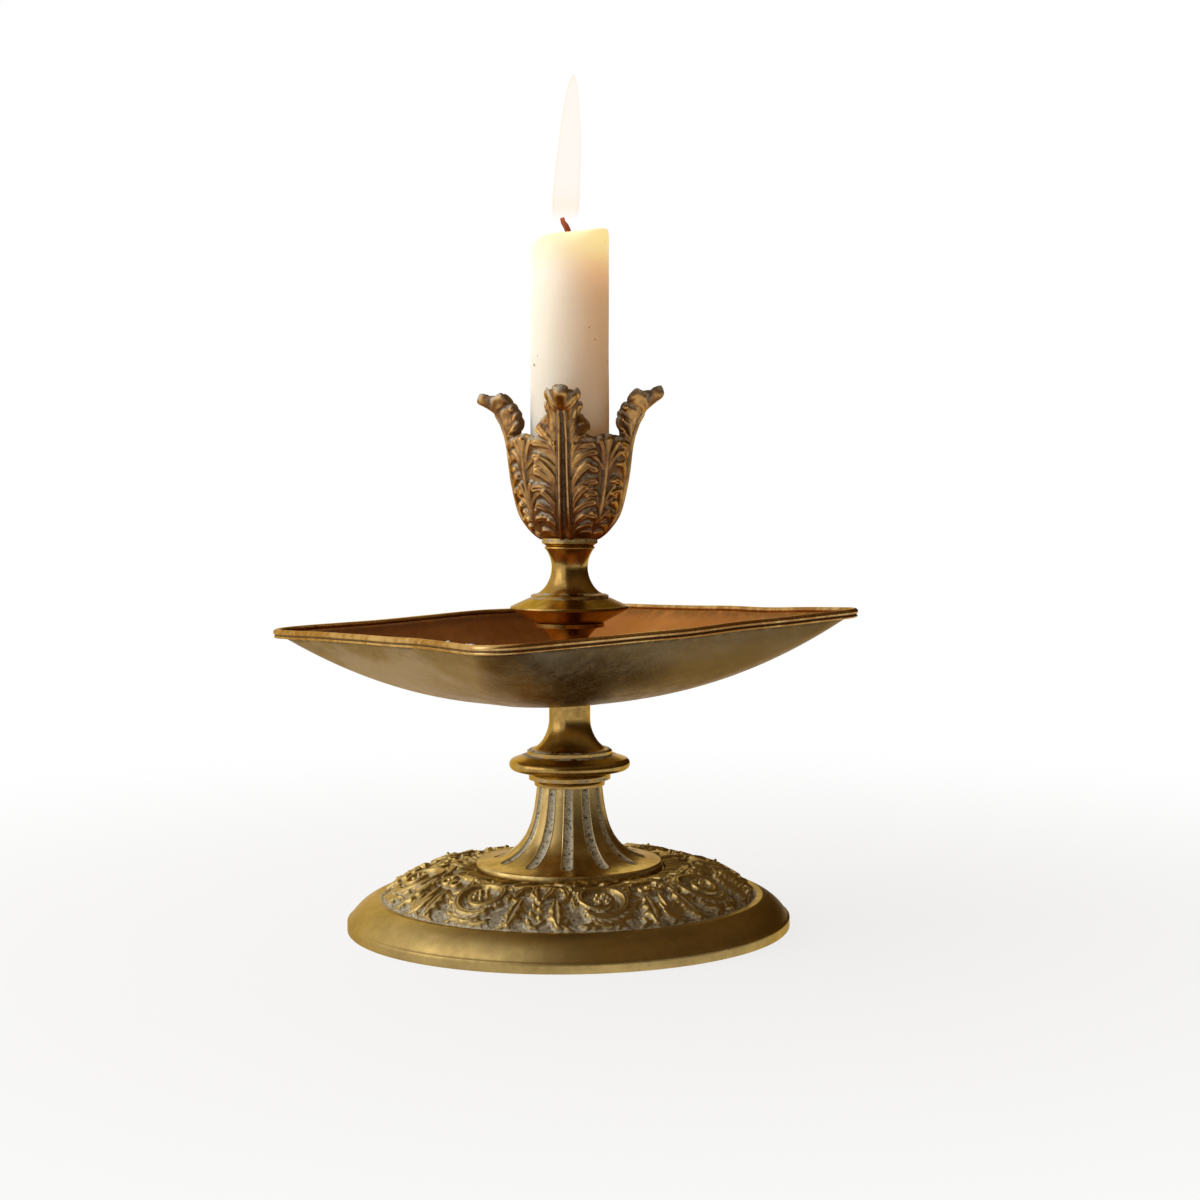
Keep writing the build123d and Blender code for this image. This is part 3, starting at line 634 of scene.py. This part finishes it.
def through(points, first, last, count=60):
    """A smooth curve through points with set end directions, and its length so far."""
    p = np.array(points, float)
    steps = np.linalg.norm(np.diff(p, axis=0), axis=1)
    d = np.zeros_like(p)
    d[1:-1] = 0.5 * ((p[2:] - p[1:-1]) / steps[1:, None] + (p[1:-1] - p[:-2]) / steps[:-1, None])
    d[0], d[-1] = np.array(first) / np.hypot(*first), np.array(last) / np.hypot(*last)
    t = np.linspace(0, 1, count)[:, None]
    parts = [
        (2 * t**3 - 3 * t**2 + 1) * p[k] + (t**3 - 2 * t**2 + t) * steps[k] * d[k]
        + (3 * t**2 - 2 * t**3) * p[k + 1] + (t**3 - t**2) * steps[k] * d[k + 1]
        for k in range(len(p) - 1)
    ]
    curve = np.concatenate([part[:-1] for part in parts] + [parts[-1][-1:]])
    return np.r_[0, np.cumsum(np.hypot(*np.diff(curve, axis=0).T))], curve


CUP_LENGTH, CUP_CURVE = through(
    [(8.0, 0.0), (12.5, 6.1), (15.1, 15.5), (17.3, 29.0), (20.6, 35.6), (26.0, 41.0)], (1, 0.5), (1, 0.75)
)


def make_cup():
    cols, rows = 520, 235
    s = np.linspace(0, CUP_LENGTH[-1], rows)
    r = np.interp(s, CUP_LENGTH, CUP_CURVE[:, 0])
    valley = float(np.interp(28.4, CUP_CURVE[:, 1], CUP_LENGTH))
    work, free = Carving(s, r, cols), Carving(s, r, cols)
    angles = np.arange(cols) / cols * 2 * pi
    def lobe(field, at, side, x, y, lean, size, fingers, bend=0.8, proud=1.75):
        """Blunt fingers that rise side by side from an eye beside the rib and turn outwards."""
        for i in range(fingers):
            heading = pi / 2 - side * (lean + 0.37 * i + wobble(0.09))
            length, turn = (8.6 - 1.25 * i) * size, -side * (bend + 0.12 * i)
            path = curl(side * (x + 0.15 * i), y - 0.8 * i * size, heading, length, turn)
            field.stroke(
                at, path, lambda t: size * (0.62 + 0.72 * t), lambda t: proud * (0.3 + 0.7 * t) - 0.08 * i, 0.28, 0.6,
            )

    for k in range(4):
        at = k * pi / 2
        # small leaf between two large ones, up to the rim
        half_way = at + pi / 4
        work.stroke(half_way, np.array([(0, 6.0), (0, valley - 3.0)]), lambda t: 0.55 + 0 * t, lambda t: 1.0 + 0 * t)
        for side in (1, -1):
            for foot, size in ((valley - 8.6, 0.86), (11.0, 0.72), (5.5, 0.55)):
                lobe(work, half_way, side, 0.7, foot, 0.12, size, 2, 0.5, 1.35)
        top = np.array([(0, valley - 5.0), (0, valley - 1.2)])
        work.stroke(half_way, top, lambda t: 0.8 + 0.7 * t, lambda t: 0.8 + 0.6 * t, 0.2)
        for side in (1, -1):
            # tiers of lobes, the lower ones over the upper ones
            for foot, size in ((22.0, 0.98), (15.2, 1.06), (8.2, 0.98), (2.0, 0.74)):
                lobe(work, at, side, 1.7, foot + wobble(0.5), 0.06 + wobble(0.03), size * (1.04 + wobble(0.05)), 3)
            # free part of the leaf: two side lobes and a tip in three
            lobe(free, at, side, 1.5, valley - 2.6, 0.16, 1.06, 3, 0.3, 1.5)
            lobe(free, at, side, 1.3, valley + 3.2, 0.1, 0.78, 3, 0.35, 1.5)
            beside = curl(side * 0.9, valley + 7.6, pi / 2 - side * 0.8, 3.6, -side * 0.4)
            free.stroke(at, beside, lambda t: 1.4 + 0.6 * t, lambda t: 0.9 + 0.8 * t, 0.2)
        point = np.array([(0, valley + 8.0), (0, valley + 13.0)])
        free.stroke(at, point, lambda t: 1.6 + 0.75 * t, lambda t: 0.9 + 1.1 * t, 0.12)
        blade = np.array([(0, valley - 6.0), (0, valley + 9.0)])
        free.stroke(at, blade, lambda t: 8.6 - 4.1 * t, lambda t: 0.4 + 0 * t)
    upper = np.clip((s - valley + 2.5) / 1.5, 0, 1)[:, None]
    work.h = np.maximum(work.h * np.where(free.cover > 0.2, 1 - 0.9 * upper, 1), free.h)
    for k in range(4):
        x = ((angles - k * pi / 2 + pi) % (2 * pi) - pi)[None, :] * r[:, None]
        thick = np.interp(s, [0, 10, valley, valley + 7], [1.25, 1.1, 0.95, 0.7])[:, None]
        strip = np.clip((2.1 * thick - np.abs(x)) / 0.4, 0, 1) * np.clip((valley + 8.2 - s) / 1.4, 0, 1)[:, None]
        ridge = 1.55 * np.exp(-(((np.abs(x) - 1.0 * thick) / (0.5 * thick)) ** 2))
        work.h = work.h * (1 - strip) + np.maximum(ridge, 0.05) * strip
    scallop = 0.9 * np.abs(np.cos(6 * (angles - pi / 4)))[None, :]
    cover = np.maximum(valley - 0.5 + scallop - s[:, None], np.where(s[:, None] > valley - 2.5, free.cover, -9))
    h = smooth(work.h, 1) * (0.3 + 0.7 * ease(s, 0.5, 9.0))[:, None]
    crust = np.clip((smooth(h, 5) - h) / 0.3, 0, 1)
    above = np.clip((np.roll(h, 3, 0) - h - 0.3) / 0.4, 0, 1)
    above[:4] = 0
    crust = np.maximum(0.42 * crust, 0.9 * smooth(above, 1))
    high = np.clip((h - smooth(h, 12)) / 0.35, 0, 1)
    hollow = np.clip((smooth(h, 10) - h) / 0.3, 0, 1) * 0.9 + 0.2 * (h < 0.25)

    # cut the grid along the upper edge
    fields = np.stack([
        np.repeat(s[:, None], cols, 1), np.repeat(np.cos(angles)[None, :], rows, 0),
        np.repeat(np.sin(angles)[None, :], rows, 0), h, cover, crust, high, hollow,
    ], -1).reshape(-1, 8)
    quads = grid_faces(rows, cols)
    tris = np.concatenate([quads[:, [0, 1, 2]], quads[:, [0, 2, 3]]])
    inside = fields[:, 4] > 0
    count = inside[tris].sum(1)
    keep = [tris[count == 3]]
    edges, places, border = {}, [], []

    def crossing(a, b):
        key = (min(a, b), max(a, b))
        if key not in edges:
            edges[key] = len(fields) + len(places)
            ca, cb = fields[a, 4], fields[b, 4]
            t = np.clip(ca / (ca - cb), 0.02, 0.98)
            places.append(fields[a] * (1 - t) + fields[b] * t)
        return edges[key]

    extra = []
    for tri in tris[(count == 1) | (count == 2)]:
        tri = [int(v) for v in tri]
        alone = 1 if inside[tri].sum() == 1 else 0
        k = [i for i in range(3) if inside[tri[i]] == bool(alone)][0]
        a, b, c = tri[k], tri[(k + 1) % 3], tri[(k + 2) % 3]
        ab, ac = crossing(a, b), crossing(a, c)
        if alone:
            extra.append((a, ab, ac))
            border.append((ab, ac))
        else:
            extra += [(ab, b, c), (ab, c, ac)]
            border.append((ac, ab))
    tris = np.concatenate(keep + [np.array(extra, np.int64)])
    fields = np.concatenate([fields, np.array(places)])
    fields[len(inside):, 4] = 0
    used = np.unique(tris)
    renumber = np.zeros(len(fields), np.int64)
    renumber[used] = np.arange(len(used))
    tris, fields = renumber[tris], fields[used]
    border = renumber[np.array(border)]
    ring_row = renumber[np.arange(cols)]

    s_at, h_at, c_at = fields[:, 0], fields[:, 3], np.clip(fields[:, 4], 0, 5)
    turn = np.arctan2(fields[:, 2], fields[:, 1])
    radius = np.interp(s_at, CUP_LENGTH, CUP_CURVE[:, 0])
    rise = np.interp(s_at, CUP_LENGTH, CUP_CURVE[:, 1])
    slope = np.gradient(CUP_CURVE, CUP_LENGTH, axis=0)
    nr, nz = np.interp(s_at, CUP_LENGTH, slope[:, 1]), -np.interp(s_at, CUP_LENGTH, slope[:, 0])
    soft = np.sqrt(np.clip(1 - (1 - np.clip(c_at / 0.8, 0, 1)) ** 2, 0, 1))
    tip = np.clip((s_at - valley) / (CUP_LENGTH[-1] - valley), 0, 1)
    wall = 1.7 - 0.3 * tip
    # each leaf is bent by hand a little differently
    leaf = np.round(turn / (pi / 2)).astype(int) % 4
    bend_r = np.array([0.6, 0.0, 0.2, 0.2])[leaf] * tip**2
    bend_z = np.array([1.2, -0.4, -1.2, 0.5])[leaf] * tip**2

    aside = (turn - leaf * (pi / 2) + pi) % (2 * pi) - pi
    channel = np.minimum(0.15 * (aside * radius) ** 2, 3.5) * np.clip(tip / 0.3, 0, 1)

    def place(offset):
        offset = offset - channel
        return radius + nr * offset + bend_r, rise + nz * offset + bend_z

    margin = np.clip((np.abs(aside * radius) - 2.0) / 3.0, 0, 1) * np.clip(tip / 0.2, 0, 1)
    outer_r, outer_z = place(-0.45 * wall * (1 - soft) + h_at * soft * 0.95 * (1 - 0.5 * margin))
    inner_r, inner_z = place(-0.5 * wall - 0.5 * wall * soft + 0.15 * h_at * soft * tip)
    floor_at = float(np.interp(7.2, CUP_CURVE[:, 1], CUP_LENGTH))
    on_floor = s_at < floor_at
    inner_r = np.where(on_floor, 2.15 + (11.0 - 2.15) * s_at / floor_at, inner_r)
    inner_z = np.where(on_floor, 6.3, np.maximum(inner_z, 6.3))
    turn = turn + CUP_TURN
    lay = lambda rr, zz: np.stack([rr * np.cos(turn), rr * np.sin(turn), zz + CUP_AT], 1)
    outer, inner = lay(outer_r, outer_z), lay(inner_r, inner_z)
    n = len(outer)
    hole = np.stack([2.15 * np.cos(angles + CUP_TURN), 2.15 * np.sin(angles + CUP_TURN), np.full(cols, CUP_AT)], 1)
    points = np.concatenate([outer, inner, hole])
    walls = np.concatenate([
        np.stack([border[:, 0], border[:, 1], border[:, 1] + n], 1),
        np.stack([border[:, 0], border[:, 1] + n, border[:, 0] + n], 1),
    ])
    o, i, b = ring_row, ring_row + n, 2 * n + np.arange(cols)
    nxt = lambda v: np.roll(v, -1)
    base = np.concatenate([
        np.stack([o, b, nxt(b)], 1), np.stack([o, nxt(b), nxt(o)], 1),
        np.stack([b, i, nxt(i)], 1), np.stack([b, nxt(i), nxt(b)], 1),
    ])
    flip = lambda f: f[:, ::-1]
    faces = np.concatenate([tris, flip(tris) + n, flip(walls), base])
    both = lambda k: np.concatenate([fields[:, k], 0.5 * fields[:, k], np.zeros(cols)])
    # painted shade: the cup's inner wall is darkened at 0.75 and the ring round the hole fully, through the hollow
    # value
    shade = np.concatenate([fields[:, 7], np.full(n, 0.75), np.ones(cols)])
    add_piece("acanthus_cup", points, faces, cup_bronze, "stand", "leaf_cup", "cup_bronze",
              crust=both(5), high=both(6), hollow=shade)


make_cup()


# Candle, wick and flame

def make_candle():
    cols, base, top = 240, 115.97, 193.37
    angles = np.arange(cols) / cols * 2 * pi
    # away from the lit side the shoulder has melted round; towards +X a thin lip stands up
    lit = 0.5 + 0.5 * np.cos(angles - 0.25)
    lip = ease(lit, 0.62, 0.98)
    shoulder = 5.2 - 4.2 * ease(lit, 0.35, 0.95)
    drop = 0.6 * (1 - lit)
    rows_r, rows_z = [], []

    def row(r, z):
        rows_r.append(np.broadcast_to(np.asarray(r, float), cols).copy())
        rows_z.append(np.broadcast_to(np.asarray(z, float), cols).copy())

    for r, z in ((0.98, 15.35), (3.75, 0.0), (10.8, 0.0), (11.0, 0.25)):
        row(r, base + z)
    for z in np.linspace(2.0, 66.0, 40):
        swell = 0.05 * np.sin(3 * angles + z * 0.08) + 0.03 * np.sin(7 * angles - z * 0.21)
        row(11.0 + swell, base + z)
    for a in np.linspace(0, pi / 2, 14):
        out = 11.0 - shoulder * (1 - np.cos(a)) + 0.55 * lip * np.sin(a) ** 3
        row(out, top - drop - shoulder * (1 - np.sin(a)) + 0.9 * lip * np.sin(a) ** 4)
    rim_r, rim_z = rows_r[-1], rows_z[-1]
    for f in np.linspace(0.12, 1.0, 14):
        r = rim_r * (1 - f) + 1.0 * f
        bowl = -1.1 * np.sin(pi * min(f * 0.75, 0.5)) + 0.5 * max(f - 0.72, 0) / 0.28
        row(r, rim_z * (1 - f) + (top - 0.2) * f + bowl + 0.12 * np.sin(5 * angles + 3 * f) * (1 - f))
    radius, height = np.array(rows_r), np.array(rows_z)
    points = lathe_points(radius, height, angles)
    add_piece("candle_wax", points.reshape(-1, 3), grid_faces(len(points), cols, wrap_rows=True), wax,
              "candle", "candle", "wax")


make_candle()


def tube(path, radius, cols=28):
    """Rings round a path that bends in the XZ plane."""
    path = np.asarray(path, float)
    ahead = np.gradient(path, axis=0)
    ahead /= np.linalg.norm(ahead, axis=1)[:, None]
    side = np.array([0.0, 1.0, 0.0])
    other = np.cross(ahead, side)
    a = np.arange(cols) / cols * 2 * pi
    r = np.broadcast_to(np.asarray(radius, float), (len(path), cols))[..., None]
    return path[:, None, :] + r * (np.cos(a)[None, :, None] * side + np.sin(a)[None, :, None] * other[:, None, :])


def capped(rings):
    """Closes a stack of rings with a point at each end."""
    rows, cols, _ = rings.shape
    points = np.concatenate([rings.reshape(-1, 3), rings[0].mean(0)[None], rings[-1].mean(0)[None]])
    quads = grid_faces(rows, cols)
    tris = np.concatenate([quads[:, [0, 1, 2]], quads[:, [0, 2, 3]]])
    j = np.arange(cols)
    k = (j + 1) % cols
    first, last = rows * cols, rows * cols + 1
    upper = (rows - 1) * cols
    ends = np.concatenate([
        np.stack([np.full(cols, first), k, j], 1), np.stack([np.full(cols, last), upper + j, upper + k], 1),
    ])
    return points, np.concatenate([tris, ends])


def make_drips():
    """Lumps of spilt wax on the tray's edge, left of its near corner."""
    for k, (start, end, size) in enumerate(((257.3, 260.2, 0.75), (260.6, 262.0, 0.5), (263.0, 266.3, 0.65))):
        a = np.radians(np.linspace(start, end, 26))
        t = np.linspace(0, 1, 26)
        reach = square_reach(a, 121.7, 10.2) - 0.1 + 0.25 * np.sin(9 * t + k)
        path = tray_place(reach, a, np.full(26, 21.75))
        swell = np.sin(np.linspace(0.05, pi - 0.05, 26)) ** 0.6 * (1 + 0.2 * np.sin(7 * t + 2 * k))
        points, faces = capped(tube(path, size * swell[:, None], 16))
        add_piece(f"wax_lump_{k + 1}", points, faces, spilt_wax, "stand", None, "wax")


def make_wick():
    t = np.linspace(0, 1, 60)
    z = 132.0 + (197.6 - 132.0) * t
    bend = ease(z, 192.2, 198.4)
    x = -2.3 * bend
    path = np.stack([x, 0 * x, z], 1)
    a = np.arange(28) / 28 * 2 * pi
    twist = 0.82 + 0.1 * np.cos(3 * a[None, :] - 2.2 * z[:, None]) - 0.25 * ease(z, 195.5, 197.6)[:, None]
    points, faces = capped(tube(path, twist))
    add_piece("wick_twist", points, faces, wick_cotton, "candle", "wick", "wick_cotton")


make_drips()
make_wick()


def make_flame():
    z = np.array([194.6, 195.4, 196.6, 198.4, 201.5, 204.8, 211.0, 218.3, 223.5, 228.0, 231.5, 233.9, 236.3, 237.7])
    half = np.array([1.5, 2.7, 3.25, 3.62, 3.75, 3.72, 3.55, 3.2, 2.78, 2.3, 1.84, 1.47, 0.85, 0.15])
    mid = np.array([-1.5, -1.45, -1.38, -1.26, -1.1, -0.9, -0.5, 0.0, 0.3, 0.5, 0.68, 0.8, 1.0, 1.15])
    fine = np.linspace(z[0], z[-1], 70)
    half, mid = np.interp(fine, z, half), np.interp(fine, z, mid)
    for _ in range(3):
        half[1:-1] = (half[:-2] + 2 * half[1:-1] + half[2:]) / 4
    for name, scale, low, high, solid in (
        ("flame_skin", 1.0, (1.0, 0.66, 0.3), (1.0, 0.8, 0.55), 0.26),
        ("flame_core", 0.86, (1.0, 0.98, 0.92), (1.0, 1.0, 1.0), 1.0),
    ):
        zz = fine[0] + 0.9 * (1 - scale) * 6 + (fine - fine[0]) * (1 - (1 - scale) * 0.35)
        path = np.stack([mid, 0 * mid, zz], 1)
        points, faces = capped(tube(path, half[:, None] * scale))
        piece = add_piece(name, points, faces, burning(name, low, high, solid), "candle",
                          "flame" if name == "flame_skin" else None, "flame_gas")
        piece.visible_shadow = False


make_flame()

for node, material in (
    ("knop_disc", turned_brass), ("lower_neck", turned_brass), ("drip_disc", turned_brass),
    ("upper_neck", turned_brass),
    ("pricket", iron), ("tie_rod", iron), ("foot_washer", iron), ("foot_nut", iron),
):
    nodes[node].data.materials.clear()
    nodes[node].data.materials.append(material)


# Floor, light and camera

scene = bpy.context.scene
scene.view_settings.view_transform = "Standard"

TURN = radians(8.0)
FORWARD, RIGHT = Vector((-sin(TURN), cos(TURN), 0)), Vector((cos(TURN), sin(TURN), 0))


def seen_directly(tree):
    """1 for rays from the camera and for mirror-like and see-through ones."""
    path = tree.nodes.new("ShaderNodeLightPath")
    a = tree.nodes.new("ShaderNodeMath")
    a.operation = "MAXIMUM"
    b = tree.nodes.new("ShaderNodeMath")
    b.operation = "MAXIMUM"
    tree.links.new(path.outputs["Is Camera Ray"], a.inputs[0])
    tree.links.new(path.outputs["Is Glossy Ray"], a.inputs[1])
    tree.links.new(a.outputs[0], b.inputs[0])
    tree.links.new(path.outputs["Is Transmission Ray"], b.inputs[1])
    return b.outputs[0]


def make_floor():
    bpy.ops.mesh.primitive_circle_add(vertices=96, radius=6.0, fill_type="NGON")
    floor = bpy.context.object
    floor.name = "floor"
    p = Paint("floor")
    distance = p.node("ShaderNodeVectorMath", out="Value", inputs={0: p.coords}, operation="LENGTH")
    pale = p.mix(p.noise(3.0), (0.90, 0.90, 0.90), (0.93, 0.93, 0.93))
    p.set(Base_Color=pale, Roughness=0.9, Specular_IOR_Level=0.0)
    white = p.node("ShaderNodeEmission", inputs={"Color": (1.0, 1.0, 1.0), "Strength": 1.0})
    fade = p.math("MULTIPLY", p.span(distance, 0.08, 0.42, 0.8, 1.0), seen_directly(p.tree))
    blend = p.node("ShaderNodeMixShader", inputs={0: fade, 1: p.shader.outputs[0], 2: white})
    p.put(p.tree.nodes["Material Output"].inputs["Surface"], blend)
    floor.data.materials.append(p.mat)


make_floor()


def make_world():
    world = bpy.data.worlds.new("World")
    scene.world = world
    world.use_nodes = True
    tree = world.node_tree
    ground = tree.nodes["Background"]
    ground.inputs["Color"].default_value = (1.0, 0.98, 0.95, 1)
    ground.inputs["Strength"].default_value = 0.9
    white = tree.nodes.new("ShaderNodeBackground")
    white.inputs["Color"].default_value = (1, 1, 1, 1)
    white.inputs["Strength"].default_value = 1.0
    blend = tree.nodes.new("ShaderNodeMixShader")
    tree.links.new(seen_directly(tree), blend.inputs[0])
    tree.links.new(ground.outputs[0], blend.inputs[1])
    tree.links.new(white.outputs[0], blend.inputs[2])
    tree.links.new(blend.outputs[0], tree.nodes["World Output"].inputs["Surface"])


make_world()


def make_screen():
    """A dark studio screen round the front and right, out of the picture, that the metal reflects."""
    az = np.radians(np.linspace(-24, 172, 60))
    el = np.radians(np.linspace(-1, 84, 20))
    a, e = np.meshgrid(az, el)
    d = 1.25
    side = np.sin(a) * np.cos(e) * d
    back = np.cos(a) * np.cos(e) * d
    f, r = np.array(FORWARD), np.array(RIGHT)
    points = side[..., None] * r - back[..., None] * f + np.stack([0 * e, 0 * e, np.sin(e) * d], -1)
    mesh = bpy.data.meshes.new("screen")
    mesh.from_pydata(points.reshape(-1, 3).tolist(), [], grid_faces(20, 60, wrap_cols=False).tolist())
    screen = bpy.data.objects.new("screen", mesh)
    bpy.context.collection.objects.link(screen)
    p = Paint("screen")
    p.set(Base_Color=(0.0, 0.0, 0.0), Specular_IOR_Level=0.0, Emission_Strength=1.0)
    z = p.node("ShaderNodeSeparateXYZ", out="Z", inputs={0: p.coords})
    up = p.math("ADD", p.span(z, 0.2, 1.1, 0.0, 0.85), p.math("MULTIPLY", p.noise(1.5), 0.15))
    p.set(Emission_Color=p.mix(up, (0.045, 0.026, 0.010), (0.19, 0.125, 0.062)))
    mesh.materials.append(p.mat)
    screen.visible_camera = False


make_screen()


def area(name, azimuth, elevation, distance, size, power, colour=(1, 1, 1), aim=(0, 0, 0.09)):
    """A soft light, placed by its angle right of the camera's line and above the floor."""
    a, e = radians(azimuth), radians(elevation)
    lamp = bpy.data.lights.new(name, "AREA")
    lamp.shape = "RECTANGLE"
    lamp.size, lamp.size_y = size
    lamp.energy = power
    lamp.color = colour
    light = bpy.data.objects.new(name, lamp)
    bpy.context.collection.objects.link(light)
    away = (-FORWARD * cos(a) + RIGHT * sin(a)) * cos(e) + Vector((0, 0, sin(e)))
    light.location = Vector(aim) + away * distance
    light.rotation_euler = (Vector(aim) - light.location).to_track_quat("-Z", "Y").to_euler()
    return light


area("window", -72, 24, 1.0, (0.7, 0.9), 2.6, (1.0, 0.97, 0.92))


def make_camera():
    data = bpy.data.cameras.new("Camera")
    camera = bpy.data.objects.new("Camera", data)
    bpy.context.collection.objects.link(camera)
    scene.camera = camera
    camera.location = -FORWARD * 0.6 + RIGHT * 0.0309 + Vector((0, 0, 0.1256))
    camera.rotation_euler = (radians(90), 0, TURN)
    data.sensor_width = 36.0
    data.lens = 64.29
    data.shift_x, data.shift_y = -0.0667, -0.1042
    data.clip_start = 0.01


make_camera()
